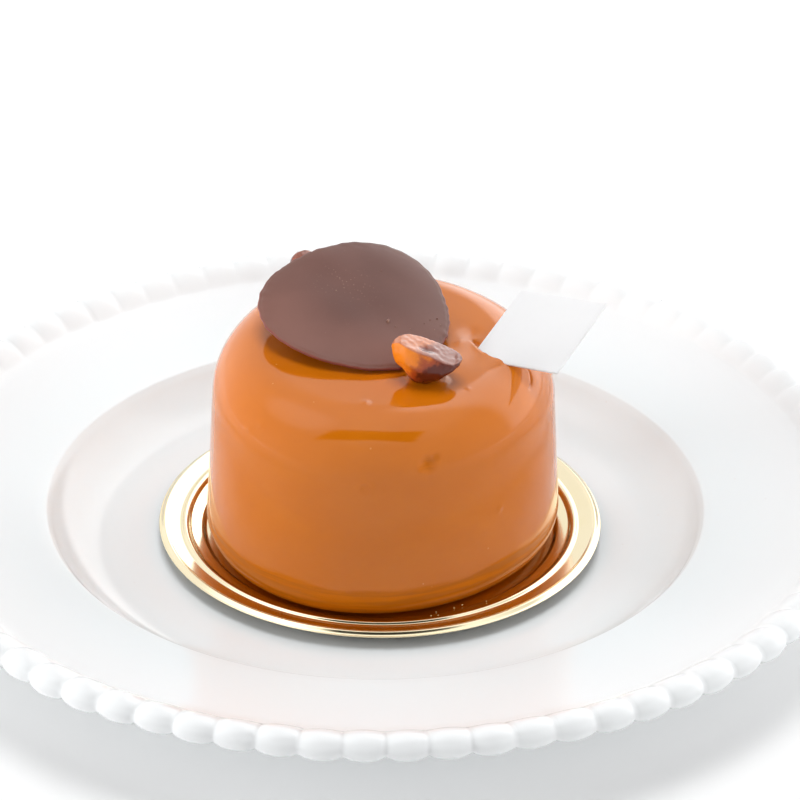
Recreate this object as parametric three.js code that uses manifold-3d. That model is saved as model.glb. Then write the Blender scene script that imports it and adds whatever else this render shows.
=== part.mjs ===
// A glazed caramel entremet on a gold board, served on a white plate with a beaded rim.
//
// Millimetres, +Z up. The origin is the centre of the plate's foot, on the table. The diner
// sits on the -Y side. Everything rests on what is below it, with a hairline of clearance.

import * as THREE from 'three';
import { mergeVertices } from 'three/addons/utils/BufferGeometryUtils.js';
import Module from 'manifold-3d';

const manifold = await Module();
manifold.setup();

// ---------------------------------------------------------------- driving dimensions

// Hairline kept between two pieces that touch, and between a piece and the slot it is in.
const REST_GAP = 0.2;
const SLOT_GAP = 0.3;

const PLATE = {
  footInner: 50, // radii of the flat ring it stands on
  footOuter: 53,
  recessHeight: 1.8, // underside of the floor, above the table
  floorRadius: 54,
  floorHeight: 4.8,
  wellRadius: 66.75, // where the wall of the well turns over into the rim
  wellHeight: 12.7,
  rimRadius: 96.4,
  rimHeight: 17.8,
  rimThickness: 3.2,
  segments: 72,
};

const BEAD = {
  count: 78,
  ringRadius: 96.2,
  height: 17.9,
  halfLength: 5.6, // along the rim
  halfWidth: 2.9, // across the rim
  halfHeight: 2.5,
  lean: THREE.MathUtils.degToRad(14), // each bead is turned a little, as in a rope
  firstAngle: THREE.MathUtils.degToRad(-85.99),
};

const BOARD = {
  centre: new THREE.Vector2(0.94, 0.33),
  radius: 45,
  thickness: 0.7,
  // Top of the embossed card as radius and height above its flat middle: two raised
  // rings with a shallow valley between them, then the flat lip.
  rings: [
    [35.8, 0],
    [37.0, 0.5],
    [38.0, 1.1],
    [39.1, 0.9],
    [39.9, 1.55],
    [42.4, 1.75],
    [43.1, 2.3],
    [45.0, 2.4],
  ],
  lipThickness: 0.45,
  // The underside as radius and height above the plate's floor.
  underside: [
    [35.0, 0],
    [37.4, 0.7],
    [42.6, 1.5],
  ],
  segments: 60,
};

const CAKE = {
  centre: new THREE.Vector2(1.06, 1.0),
  baseRadius: 36.9,
  topRadius: 35.3,
  height: 42.6,
  baseRound: 5.4,
  topRound: 11.6,
  // The glaze isn't quite round: cosine and sine parts of the plan's second and third harmonic.
  oval: [-1.15, 0.61],
  egg: [0.48, 0.09],
  // Height gained from the middle to the side at +X and at +Y.
  leanX: -1.0,
  leanY: 1.2,
  // The glaze is dragged down where the card goes in.
  dipDepth: 1.0,
  dipWidth: 5.0,
  segments: 54,
};

const CARD = {
  side: 20.5,
  thickness: 0.45,
  corner: new THREE.Vector3(18.7, -2.45, 46.25), // the corner that is sunk in the cake
  yaw: THREE.MathUtils.degToRad(-34.8),
  pitch: THREE.MathUtils.degToRad(-8.6),
  roll: THREE.MathUtils.degToRad(19.3),
};

const DISC = {
  centre: new THREE.Vector3(-3.9, 5.6, 53.5),
  radius: 19.2,
  thickness: 1.7,
  dome: 0.5,
  normal: new THREE.Vector3(0.1, -0.21, 0.973),
  oval: [-0.013, 0.006],
  egg: [-0.036, -0.033],
  segments: 40,
};

const NUT = {
  columns: 16,
  rows: 10,
  bump: 0.07, // how far its sides wave in and out, as a share of its size
  taper: 0.12, // how much slimmer its far end is than its middle
  sunk: { width: 80, depth: 20 },
};

const NUT_FRONT = {
  centre: new THREE.Vector3(9.55, -14.1, 52.75),
  halfSize: new THREE.Vector3(7.0, 4.7, 4.7),
  turn: new THREE.Euler(0.1, 0.24, -0.1),
  phase: 0.6,
};

const NUT_BACK = {
  centre: new THREE.Vector3(-13.7, 19.0, 53.8),
  halfSize: new THREE.Vector3(5.6, 3.8, 3.5),
  turn: new THREE.Euler(0, -0.55, 2.2, 'ZYX'),
  phase: 2.1,
};

// ---------------------------------------------------------------- materials

const material = (color, roughness, metalness = 0) => new THREE.MeshStandardMaterial({ color, roughness, metalness });

const porcelain = material(0xf4f4f4, 0.12);
const goldCard = material(0xe0b060, 0.22, 1);
const caramelGlaze = material(0xc46f16, 0.08);
const chocolate = material(0x4a3028, 0.45);
const caramelNut = material(0x9a4a1c, 0.2);
const whiteCard = material(0xf7f7f5, 0.5);

// ---------------------------------------------------------------- solids

// The library's solid of a closed geometry, with shared corners merged and the empty
// triangles at a lathe's poles left out.
function solidOf(geometry) {
  const bare = geometry.clone();
  bare.deleteAttribute('normal');
  bare.deleteAttribute('uv');
  const merged = mergeVertices(bare, 1e-4);
  const index = merged.index.array;
  const kept = [];
  for (let i = 0; i < index.length; i += 3) {
    const [a, b, c] = [index[i], index[i + 1], index[i + 2]];
    if (a !== b && b !== c && c !== a) kept.push(a, b, c);
  }
  const mesh = new manifold.Mesh({
    numProp: 3,
    vertProperties: new Float32Array(merged.attributes.position.array),
    triVerts: new Uint32Array(kept),
  });
  return new manifold.Manifold(mesh);
}

// A geometry from a solid, for a THREE.Mesh.
function geometryOf(solid) {
  const mesh = solid.getMesh();
  const geometry = new THREE.BufferGeometry();
  geometry.setAttribute('position', new THREE.BufferAttribute(new Float32Array(mesh.vertProperties), 3));
  geometry.setIndex(new THREE.BufferAttribute(new Uint32Array(mesh.triVerts), 1));
  geometry.computeVertexNormals();
  return geometry;
}

// A turned solid from a profile of [radius, height] pairs that runs from the bottom of the
// axis, out and up, to the top of the axis.
function turned(profile, segments) {
  const points = profile.map(([radius, height]) => new THREE.Vector2(radius, height));
  const geometry = new THREE.LatheGeometry(points, segments);
  return geometry.rotateX(Math.PI / 2);
}

// Points on an arc about a centre, both ends included.
function arc(centreRadius, centreHeight, radius, fromAngle, toAngle, steps) {
  const points = [];
  for (let i = 0; i <= steps; i += 1) {
    const angle = THREE.MathUtils.lerp(fromAngle, toAngle, i / steps);
    points.push([centreRadius + radius * Math.cos(angle), centreHeight + radius * Math.sin(angle)]);
  }
  return points;
}

// Moves every corner of a geometry by a function of its place.
function reshape(geometry, move) {
  const position = geometry.attributes.position;
  const point = new THREE.Vector3();
  for (let i = 0; i < position.count; i += 1) {
    point.fromBufferAttribute(position, i);
    move(point);
    position.setXYZ(i, point.x, point.y, point.z);
  }
  position.needsUpdate = true;
  geometry.computeVertexNormals();
  return geometry;
}

// A gentle departure from a round plan: the second and third harmonic at an angle.
function uneven(angle, oval, egg) {
  const second = oval[0] * Math.cos(2 * angle) + oval[1] * Math.sin(2 * angle);
  const third = egg[0] * Math.cos(3 * angle) + egg[1] * Math.sin(3 * angle);
  return second + third;
}

// ---------------------------------------------------------------- plate

// The plate without its beads: foot ring, flat floor, hollow wall and rising rim.
function plateBody() {
  const { floorRadius, floorHeight, wellRadius, wellHeight, rimRadius, rimHeight, rimThickness } = PLATE;
  const run = wellRadius - floorRadius - 0.7;
  const rise = wellHeight - floorHeight - 0.5;
  const wallAngle = 2 * Math.atan(rise / run);
  const wallRadius = run / Math.sin(wallAngle);
  const wall = arc(floorRadius, floorHeight + wallRadius, wallRadius, -Math.PI / 2 + wallAngle, -Math.PI / 2, 5);
  return turned(
    [
      [0, PLATE.recessHeight],
      [PLATE.footInner - 1.5, PLATE.recessHeight],
      [PLATE.footInner, 0],
      [PLATE.footOuter, 0],
      [PLATE.footOuter + 1.6, 1.5],
      [wellRadius + 1, wellHeight - rimThickness],
      [rimRadius - 3, rimHeight - rimThickness],
      [rimRadius, rimHeight - 1.5],
      [rimRadius, rimHeight - 0.3],
      [rimRadius - 4, rimHeight - 0.3],
      [wellRadius + 0.8, wellHeight + 0.3],
      [wellRadius, wellHeight],
      ...wall,
      [0, floorHeight],
    ],
    PLATE.segments,
  );
}

// One bead of the rim, an egg-like lobe turned a little across the rim.
function bead(index) {
  const angle = BEAD.firstAngle + (index * 2 * Math.PI) / BEAD.count;
  return new THREE.SphereGeometry(1, 7, 5)
    .rotateX(Math.PI / 2)
    .scale(BEAD.halfWidth, BEAD.halfLength, BEAD.halfHeight)
    .rotateZ(BEAD.lean)
    .translate(BEAD.ringRadius, 0, BEAD.height)
    .rotateZ(angle);
}

function plateGeometry() {
  let solid = solidOf(plateBody());
  for (let index = 0; index < BEAD.count; index += 1) {
    solid = solid.add(solidOf(bead(index)));
  }
  return geometryOf(solid);
}

// ---------------------------------------------------------------- board

function boardGeometry() {
  const base = PLATE.floorHeight + REST_GAP;
  const top = base + BOARD.thickness;
  const upper = BOARD.rings.map(([radius, height]) => [radius, top + height]);
  const lower = BOARD.underside.map(([radius, height]) => [radius, base + height]);
  const lip = upper[upper.length - 1];
  const lipEdge = [lip[0] - 0.1, lip[1] - BOARD.lipThickness];
  return turned([[0, base], ...lower, lipEdge, ...upper.reverse(), [0, top]], BOARD.segments);
}

// ---------------------------------------------------------------- cake

const cakeBase = PLATE.floorHeight + REST_GAP + BOARD.thickness + REST_GAP;

// Height of the cake's flat top at a place in the plan, as it leans.
function cakeTopAt(x, y) {
  const across = (CAKE.leanX * (x - CAKE.centre.x)) / CAKE.topRadius;
  const deep = (CAKE.leanY * (y - CAKE.centre.y)) / CAKE.topRadius;
  return cakeBase + CAKE.height + across + deep;
}

// The glazed cake before the card goes in: a drum with a wide round shoulder.
function cakeDrum() {
  const { baseRadius, topRadius, height, baseRound, topRound } = CAKE;
  const shoulder = arc(topRadius - topRound, height - topRound, topRound, 0, Math.PI / 2, 8);
  const foot = arc(baseRadius - baseRound, baseRound, baseRound, -Math.PI / 2, 0, 4);
  const side = [0.33, 0.66].map((share) => [
    THREE.MathUtils.lerp(baseRadius, topRadius, share),
    THREE.MathUtils.lerp(baseRound, height - topRound, share),
  ]);
  const top = [18, 12, 6].map((radius) => [radius, height]);
  return turned([[0, 0], ...foot, ...side, ...shoulder, ...top, [0, height]], CAKE.segments);
}

// Pulls the glaze down around the card's sunk corner.
function glazeDip(x, y) {
  const reach = Math.hypot(x - CARD.corner.x - 2, y - CARD.corner.y + 1) / CAKE.dipWidth;
  return CAKE.dipDepth * Math.exp(-reach * reach);
}

function cakeGeometry() {
  const drum = reshape(cakeDrum(), (point) => {
    const radius = Math.hypot(point.x, point.y);
    const stretch = 1 + uneven(Math.atan2(point.y, point.x), CAKE.oval, CAKE.egg) / CAKE.baseRadius;
    const share = point.z / CAKE.height;
    point.x = point.x * stretch + CAKE.centre.x;
    point.y = point.y * stretch + CAKE.centre.y;
    const rise = cakeTopAt(point.x, point.y) - CAKE.height;
    point.z += THREE.MathUtils.lerp(cakeBase, rise, radius > 0 || share > 0 ? share : 0);
    point.z -= share > 0.9 ? glazeDip(point.x, point.y) : 0;
  });
  const slot = cardBox(SLOT_GAP).applyMatrix4(cardPlace());
  return geometryOf(solidOf(drum).subtract(solidOf(slot)));
}

// ---------------------------------------------------------------- card

function cardBox(clearance) {
  const side = CARD.side + 2 * clearance;
  return new THREE.BoxGeometry(side, side, CARD.thickness + 2 * clearance);
}

// Puts the card's centre and directions where its sunk corner is the named point.
function cardPlace() {
  const turn = new THREE.Euler(CARD.roll, CARD.pitch, CARD.yaw, 'ZYX');
  const place = new THREE.Matrix4().makeRotationFromEuler(turn);
  const centre = new THREE.Vector3(CARD.side / 2, CARD.side / 2, 0).applyMatrix4(place).add(CARD.corner);
  return place.setPosition(centre);
}

// ---------------------------------------------------------------- chocolate disc

// A pressed drop of chocolate: thin, a little domed, with a soft edge and an egg-like plan.
// A clearance makes it larger all round, for the space that its neighbours leave it.
function discGeometry(clearance = 0) {
  const radius = DISC.radius + clearance;
  const half = DISC.thickness / 2 + clearance;
  const dome = DISC.dome;
  const edge = arc(radius - half, 0, half, -Math.PI / 2, Math.PI / 2, 4);
  const upper = [0.85, 0.5, 0].map((share) => [radius * share, half + dome * (1 - share * share)]);
  const lower = [0, 0.6].map((share) => [radius * share, -half]);
  return reshape(turned([...lower, ...edge, ...upper], DISC.segments), (point) => {
    const stretch = 1 + uneven(Math.atan2(point.y, point.x), DISC.oval, DISC.egg);
    point.x *= stretch;
    point.y *= stretch;
  });
}

function discPlace() {
  const up = new THREE.Vector3(0, 0, 1);
  const turn = new THREE.Quaternion().setFromUnitVectors(up, DISC.normal.clone().normalize());
  return new THREE.Matrix4().compose(DISC.centre, turn, new THREE.Vector3(1, 1, 1));
}

// ---------------------------------------------------------------- caramelised nuts

// A nut kernel: an egg shape whose sides wave, with one end blunter than the other.
function kernel({ halfSize, centre, turn, phase }) {
  const egg = new THREE.SphereGeometry(1, NUT.columns, NUT.rows).rotateX(Math.PI / 2);
  reshape(egg, (point) => {
    const angle = Math.atan2(point.y, point.x);
    const wave = Math.sin(3 * angle + phase) * Math.cos(2 * point.z + phase) + 0.6 * Math.sin(5 * point.z + 2 * phase);
    const blunt = 1 - NUT.taper * point.x;
    point.multiplyScalar(1 + NUT.bump * wave);
    point.y *= blunt;
    point.z *= blunt;
    point.multiply(halfSize);
  });
  return egg.applyMatrix4(new THREE.Matrix4().makeRotationFromEuler(turn).setPosition(centre));
}

// The space under a plane just above the cake's flat top, where a nut has sunk in flat.
function underCakeTop() {
  const { width, depth } = NUT.sunk;
  return reshape(new THREE.BoxGeometry(width, width, depth), (point) => {
    point.z += cakeTopAt(point.x, point.y) + SLOT_GAP - depth / 2;
  });
}

// A kernel that lies flat on the glaze and clear of the disc.
function nutGeometry(sizes) {
  const disc = discGeometry(SLOT_GAP).applyMatrix4(discPlace());
  return geometryOf(solidOf(kernel(sizes)).subtract(solidOf(underCakeTop())).subtract(solidOf(disc)));
}

// ---------------------------------------------------------------- assembly

function piece(name, geometry, surface) {
  const mesh = new THREE.Mesh(geometry, surface);
  mesh.name = name;
  return mesh;
}

const entremet = new THREE.Group();

entremet.add(piece('plate', plateGeometry(), porcelain));

const board = piece('board', boardGeometry(), goldCard);
board.position.set(BOARD.centre.x, BOARD.centre.y, 0);
entremet.add(board);

entremet.add(piece('cake', cakeGeometry(), caramelGlaze));

const disc = piece('chocolate_disc', discGeometry(), chocolate);
disc.applyMatrix4(discPlace());
entremet.add(disc);

entremet.add(piece('nut_front', nutGeometry(NUT_FRONT), caramelNut));
entremet.add(piece('nut_back', nutGeometry(NUT_BACK), caramelNut));

const card = piece('card', cardBox(0), whiteCard);
card.applyMatrix4(cardPlace());
entremet.add(card);

export default entremet;
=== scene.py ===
"""A glazed caramel entremet on a gold board, served on a white plate with a beaded rim."""

import logging
import math
from dataclasses import dataclass
from enum import Enum
from typing import Any, Mapping, Sequence

import bpy
import numpy as np
from mathutils import Matrix, Vector


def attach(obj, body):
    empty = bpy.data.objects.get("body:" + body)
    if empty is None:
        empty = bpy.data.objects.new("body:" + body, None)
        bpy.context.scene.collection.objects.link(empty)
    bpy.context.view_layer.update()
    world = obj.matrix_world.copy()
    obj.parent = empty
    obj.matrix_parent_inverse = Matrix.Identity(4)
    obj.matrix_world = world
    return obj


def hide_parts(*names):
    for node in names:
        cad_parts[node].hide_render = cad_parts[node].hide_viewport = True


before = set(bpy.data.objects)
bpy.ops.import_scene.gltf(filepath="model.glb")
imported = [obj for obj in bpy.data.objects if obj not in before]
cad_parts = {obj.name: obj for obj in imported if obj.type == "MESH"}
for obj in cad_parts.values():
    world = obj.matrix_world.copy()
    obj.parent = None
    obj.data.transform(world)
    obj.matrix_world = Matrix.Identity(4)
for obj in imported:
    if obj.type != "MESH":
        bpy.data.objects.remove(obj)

LOG = logging.getLogger("entremet")
MM = 0.001
TURN = 2.0 * math.pi
TINY = 1e-9
Pair = tuple[float, float]
Place = tuple[float, float, float]


# ---------------------------------------------------------------- shapes


class Slot(Enum):
    """The part's material slots."""

    PORCELAIN = "porcelain"
    GOLD_CARD = "gold_card"
    GLAZE = "caramel_glaze"
    CHOCOLATE = "chocolate"
    NUT = "caramel_nut"
    WHITE_CARD = "white_card"


def even_turn(count: int) -> np.ndarray:
    """Evenly spaced angles of one whole turn, without its end."""
    return np.arange(count) * TURN / count


def smooth_step(value: np.ndarray, low: float, high: float) -> np.ndarray:
    """Rises from 0 at low to 1 at high on the curve 3t^2 - 2t^3.

    Args:
        value: The numbers to map.
        low: Where the rise starts.
        high: Where it ends. It may be below low, for a fall.

    Returns:
        Numbers from 0 to 1, shaped like value.
    """
    share = np.clip((value - low) / (high - low), 0.0, 1.0)
    return share * share * (3.0 - 2.0 * share)


def bell(distance: np.ndarray, width: float) -> np.ndarray:
    """1 in the middle, dying away on exp(-(distance / width)^2)."""
    return np.exp(-((distance / width) ** 2))


def oval_bell(points: np.ndarray, centre: Pair, size: Pair) -> np.ndarray:
    """A bell over an oval in the plan: one bell across it times one along it."""
    return bell(points[..., 0] - centre[0], size[0]) * bell(points[..., 1] - centre[1], size[1])


def harmonics(angle: np.ndarray, oval: Sequence[float], egg: Sequence[float]) -> np.ndarray:
    """Departure from a round plan: the cosine and sine of twice and three times the angle.

    Args:
        angle: Angles in the plan.
        oval: Cosine and sine parts of the second harmonic.
        egg: Cosine and sine parts of the third harmonic.

    Returns:
        The departure at each angle, in the unit of the parts.
    """
    second = oval[0] * np.cos(2 * angle) + oval[1] * np.sin(2 * angle)
    return second + egg[0] * np.cos(3 * angle) + egg[1] * np.sin(3 * angle)


def arc(centre: Pair, radius: float, start: float, end: float, count: int) -> np.ndarray:
    """Points on a circle's arc: centre plus radius times cosine and sine, both ends in.

    Args:
        centre: Middle of the circle as radius and height.
        radius: Radius of the arc.
        start: First angle in degrees.
        end: Last angle in degrees.
        count: How many points.

    Returns:
        An array of count pairs.
    """
    angle = np.radians(np.linspace(start, end, count))
    return np.stack([centre[0] + radius * np.cos(angle), centre[1] + radius * np.sin(angle)], axis=1)


def line(start: Pair, end: Pair, count: int) -> np.ndarray:
    """Points on a straight stretch: one part of the way to the other, without the two ends.

    Args:
        start: First end as radius and height.
        end: Last end.
        count: How many points between them.

    Returns:
        An array of count pairs.
    """
    share = np.linspace(0.0, 1.0, count + 2)[1:-1, None]
    return np.array(start) * (1 - share) + np.array(end) * share


def turn_matrix(order: str, angles: Sequence[float]) -> np.ndarray:
    """Turns about x, y and z, multiplied in the named order.

    Args:
        order: The axes' letters; the last one's turn comes first.
        angles: Radians about x, y and z.

    Returns:
        A 3 by 3 matrix.
    """
    turns = {axis: Matrix.Rotation(angle, 3, axis) for axis, angle in zip("XYZ", angles)}
    first, second, third = order
    return np.array(turns[first] @ turns[second] @ turns[third])


@dataclass(frozen=True)
class Ripple:
    """Smooth unevenness: a mean of sine waves whose directions and phases are seeded."""

    seed: int
    wavelength: float
    waves: int = 9

    def at(self, points: np.ndarray) -> np.ndarray:
        """The mean of sin(k . p + phase) over the waves, scaled to about -1 to 1.

        Args:
            points: An array whose last axis holds places in millimetres.

        Returns:
            One number for each place.
        """
        chance = np.random.default_rng(self.seed)
        direction = chance.normal(size=(self.waves, points.shape[-1]))
        direction /= np.linalg.norm(direction, axis=1, keepdims=True)
        length = self.wavelength * chance.uniform(0.7, 1.5, self.waves)
        phase = chance.uniform(0, TURN, self.waves)
        waves = np.sin(points @ (direction * (TURN / length)[:, None]).T + phase)
        return waves.sum(axis=-1) / math.sqrt(self.waves)


class MeshMaker:
    """Turns arrays of places in millimetres into Blender meshes in metres."""

    @staticmethod
    def build(
        name: str, places: np.ndarray, faces: np.ndarray, more: np.ndarray | None = None
    ) -> bpy.types.Object:
        """Makes a smooth-shaded object at the origin from places and faces.

        Args:
            name: The piece's name.
            places: N places in millimetres.
            faces: Four-cornered faces as rows of indices.
            more: Three-cornered faces as rows of indices.

        Returns:
            The new object, linked to the scene.
        """
        mesh = bpy.data.meshes.new(name)
        more = np.zeros((0, 3), int) if more is None else more
        mesh.vertices.add(len(places))
        mesh.vertices.foreach_set("co", (places * MM).astype(np.float32).ravel())
        corners = np.concatenate([faces.ravel(), more.ravel()]).astype(np.int32)
        starts = np.concatenate([np.arange(len(faces)) * 4, faces.size + np.arange(len(more)) * 3])
        mesh.loops.add(len(corners))
        mesh.loops.foreach_set("vertex_index", corners)
        mesh.polygons.add(len(starts))
        mesh.polygons.foreach_set("loop_start", starts.astype(np.int32))
        mesh.polygons.foreach_set("use_smooth", np.ones(len(starts), bool))
        mesh.update(calc_edges=True)
        mesh.validate()
        made = bpy.data.objects.new(name, mesh)
        bpy.context.scene.collection.objects.link(made)
        return made

    @staticmethod
    def skin_faces(count: int, columns: int) -> tuple[np.ndarray, np.ndarray]:
        """Faces of a closed skin: quads between neighbouring rings, and a fan at each end.

        The places are the rings' own in order, then the bottom point and the top point.

        Args:
            count: How many rings there are between the two points.
            columns: How many places each has.

        Returns:
            Rows of four corners, and rows of three.
        """
        row, column = np.meshgrid(np.arange(count - 1), np.arange(columns), indexing="ij")
        here, beside = row * columns + column, row * columns + (column + 1) % columns
        quads = np.stack([here, beside, beside + columns, here + columns], axis=-1).reshape(-1, 4)
        edge = np.arange(columns)
        turned, last = (edge + 1) % columns, (count - 1) * columns
        low = np.full(columns, count * columns)
        bottom = np.stack([low, turned, edge], axis=1)
        top = np.stack([last + edge, last + turned, low + 1], axis=1)
        return quads, np.concatenate([bottom, top])

    @classmethod
    def closed(cls, name: str, rings: np.ndarray) -> bpy.types.Object:
        """A closed skin from rings stacked from the bottom of an axis to its top.

        Args:
            name: The piece's name.
            rings: Places shaped rings, columns, 3, with the columns anticlockwise. The places
                of the first ring all meet in one point, and so do those of the last.

        Returns:
            The new object.
        """
        places = np.concatenate([rings[1:-1].reshape(-1, 3), rings[:1, 0], rings[-1:, 0]])
        return cls.build(name, places, *cls.skin_faces(len(rings) - 2, rings.shape[1]))

    @staticmethod
    def turned(profile: np.ndarray, angle: np.ndarray) -> np.ndarray:
        """Rings of a profile carried round the upright axis: x = r cos a, y = r sin a.

        Args:
            profile: Pairs of radius and height.
            angle: The angle of each column, rising through one turn.

        Returns:
            Places shaped profile, angles, 3.
        """
        radius, height = profile[:, :1], profile[:, 1:]
        flat = np.ones_like(angle)
        return np.stack([radius * np.cos(angle), radius * np.sin(angle), height * flat], axis=-1)

    @staticmethod
    def label(made: bpy.types.Object, name: str, values: np.ndarray, ends: Sequence[float]) -> None:
        """Stores a number for each place of a closed skin, as an attribute for the finish.

        Args:
            made: The piece.
            name: The attribute's name.
            values: Numbers of the rings between the two end points.
            ends: Numbers of the bottom point and the top point.
        """
        numbers = np.concatenate([np.ravel(values), ends]).astype(np.float32)
        made.data.attributes.new(name, "FLOAT", "POINT").data.foreach_set("value", numbers)


def settle(made: bpy.types.Object, node: str | None = None) -> None:
    """Joins a piece to the part, lets it stand for a node, and logs its size.

    Args:
        made: The finished piece.
        node: The node that it replaces, if there is one.
    """
    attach(made, "root")
    if node is not None:
        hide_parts(node)
    size = np.array(made.dimensions) / MM
    LOG.info("%s: %d faces, %.1f x %.1f x %.1f mm", made.name, len(made.data.polygons), *size)


# ---------------------------------------------------------------- finishes


Value = Any
Colour = tuple[float, float, float]
Stretch = tuple[float, float, float]


class Tint:
    """An output socket with arithmetic: an expression on numbers adds Math nodes."""

    def __init__(self, shop: "FinishShop", socket: bpy.types.NodeSocket) -> None:
        """Keeps the socket and the node tree it is in."""
        self.shop = shop
        self.socket = socket

    def __add__(self, other: Value) -> "Tint":
        """Sum of two numbers."""
        return self.shop.math("ADD", self, other)

    def __radd__(self, other: Value) -> "Tint":
        """Sum with a plain number first."""
        return self.shop.math("ADD", other, self)

    def __sub__(self, other: Value) -> "Tint":
        """Difference of two numbers."""
        return self.shop.math("SUBTRACT", self, other)

    def __rsub__(self, other: Value) -> "Tint":
        """A plain number less this one."""
        return self.shop.math("SUBTRACT", other, self)

    def __mul__(self, other: Value) -> "Tint":
        """Product of two numbers."""
        return self.shop.math("MULTIPLY", self, other)

    def __rmul__(self, other: Value) -> "Tint":
        """Product with a plain number first."""
        return self.shop.math("MULTIPLY", other, self)

    def step(self, low: float, high: float) -> "Tint":
        """A soft step from 0 at low to 1 at high, or a fall where high is below low.

        Args:
            low: Where the step starts.
            high: Where it ends.

        Returns:
            A number from 0 to 1.
        """
        if low < high:
            soft = {"interpolation_type": "SMOOTHSTEP"}
            return self.shop.add("MapRange", soft, {0: self, 1: low, 2: high})
        return 1.0 - self.step(high, low)


@dataclass(frozen=True)
class Relief:
    """One layer of fine unevenness, with the size of its blotches and its depth in millimetres."""

    size: float
    detail: float
    depth: float
    strength: float = 0.5
    stretch: Stretch = (1.0, 1.0, 1.0)


class FinishShop:
    """Builds one material or world: every node comes from its add method."""

    def __init__(self, owner: bpy.types.Material | bpy.types.World) -> None:
        """Clears the owner's node tree and keeps it.

        Args:
            owner: A material or a world.
        """
        owner.use_nodes = True
        self.tree = owner.node_tree
        self.tree.nodes.clear()

    def add(
        self,
        kind: str,
        settings: Mapping[str, Any] | None = None,
        sockets: Mapping[int | str, Value] | None = None,
        output: int | str = 0,
    ) -> Tint:
        """Adds a node, sets its options, then its sockets.

        Args:
            kind: The node's type without its ShaderNode prefix.
            settings: Options to set first.
            sockets: Values or links by socket number or name.
            output: Which output to return.

        Returns:
            The chosen output.
        """
        node = self.tree.nodes.new("ShaderNode" + kind)
        for key, value in (settings or {}).items():
            setattr(node, key, value)
        for key, value in (sockets or {}).items():
            if isinstance(value, Tint):
                self.tree.links.new(value.socket, node.inputs[key])
            else:
                node.inputs[key].default_value = value
        return Tint(self, node.outputs[output] if len(node.outputs) else node.inputs[0])

    def math(self, operation: str, first: Value, second: Value = 0.0) -> Tint:
        """One Math node on two numbers."""
        return self.add("Math", {"operation": operation}, {0: first, 1: second})

    def mix(self, share: Value, first: Value, second: Value) -> Tint:
        """Mixes two colours.

        Args:
            share: How much of the second, 0 to 1.
            first: A colour or a link.
            second: A colour or a link.

        Returns:
            The mixed colour.
        """
        first, second = (c if isinstance(c, Tint) else (*c, 1.0) for c in (first, second))
        return self.add("Mix", {"data_type": "RGBA"}, {0: share, 6: first, 7: second}, 2)

    def place(self) -> Tint:
        """Object coordinates, in metres."""
        return self.add("TexCoord", None, None, "Object")

    def away(self) -> Tint:
        """Distance from the middle of the object, in metres."""
        return self.add("VectorMath", {"operation": "LENGTH"}, {0: self.place()}, 1)

    def noise(
        self,
        size: float,
        detail: float = 2.0,
        stretch: Stretch = (1.0, 1.0, 1.0),
        roughness: float = 0.5,
    ) -> Tint:
        """Cloudy noise whose blotches are about size millimetres wide.

        Args:
            size: Width of a blotch in millimetres.
            detail: How many finer layers it has.
            stretch: Scale along each axis.
            roughness: Weight of the finer layers.

        Returns:
            A number around 0.5.
        """
        where = self.add("Mapping", None, {0: self.place(), 3: stretch})
        sockets = {"Vector": where, "Scale": 1.0 / (size * MM), "Detail": detail, "Roughness": roughness}
        return self.add("TexNoise", None, sockets)

    def grains(self, size: float) -> Tint:
        """Distance to the nearest of scattered points about size millimetres apart, 0 on one."""
        return self.add("TexVoronoi", None, {"Vector": self.place(), "Scale": 1.0 / (size * MM)})

    def attribute(self, name: str) -> Tint:
        """A number stored on the mesh."""
        return self.add("Attribute", {"attribute_name": name}, None, "Fac")

    def split(self, vector: Tint) -> tuple[Tint, Tint, Tint]:
        """The three parts of a vector."""
        node = self.add("SeparateXYZ", None, {0: vector}).socket.node
        return tuple(Tint(self, out) for out in node.outputs)

    def relief(self, *layers: Relief) -> Tint:
        """A normal from bumps laid one on another.

        Args:
            *layers: The layers, the lowest first.

        Returns:
            The normal.
        """
        under: dict[str, Tint] = {}
        for layer in layers:
            height = self.noise(layer.size, layer.detail, layer.stretch)
            sockets = {"Height": height, "Distance": layer.depth * MM, "Strength": layer.strength}
            under = {"Normal": self.add("Bump", None, {**sockets, **under})}
        return under["Normal"]

    def shader(self, **sockets: Value) -> Tint:
        """A Principled shader; names use _ for spaces.

        Args:
            **sockets: Values or links by socket name.

        Returns:
            The shader.
        """
        named = {key.replace("_", " "): value for key, value in sockets.items()}
        return self.add("BsdfPrincipled", None, named)

    def blend(self, share: Value, first: Tint, second: Tint) -> Tint:
        """Mixes two shaders; the share is of the second."""
        return self.add("MixShader", None, {0: share, 1: first, 2: second})

    def end(self, shader: Tint) -> None:
        """Ends the material in a shader."""
        self.add("OutputMaterial", None, {0: shader})

    def surface(self, **sockets: Value) -> None:
        """Ends the material in one Principled shader with these sockets."""
        self.end(self.shader(**sockets))


Layers = tuple[Relief, ...]


@dataclass(frozen=True)
class Finish:
    """A material with a name. Each kind paints itself."""

    name: str = "finish"

    def paint(self, shop: FinishShop) -> None:
        """Adds the nodes. Each finish has its own.

        Args:
            shop: Where the nodes are made.
        """
        raise NotImplementedError

    def dress(self, made: bpy.types.Object) -> bpy.types.Object:
        """Makes the material and puts it on a piece as its only one.

        Args:
            made: The piece.

        Returns:
            The same piece.
        """
        material = bpy.data.materials.new(self.name)
        self.paint(FinishShop(material))
        made.data.materials.clear()
        made.data.materials.append(material)
        return made


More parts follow.
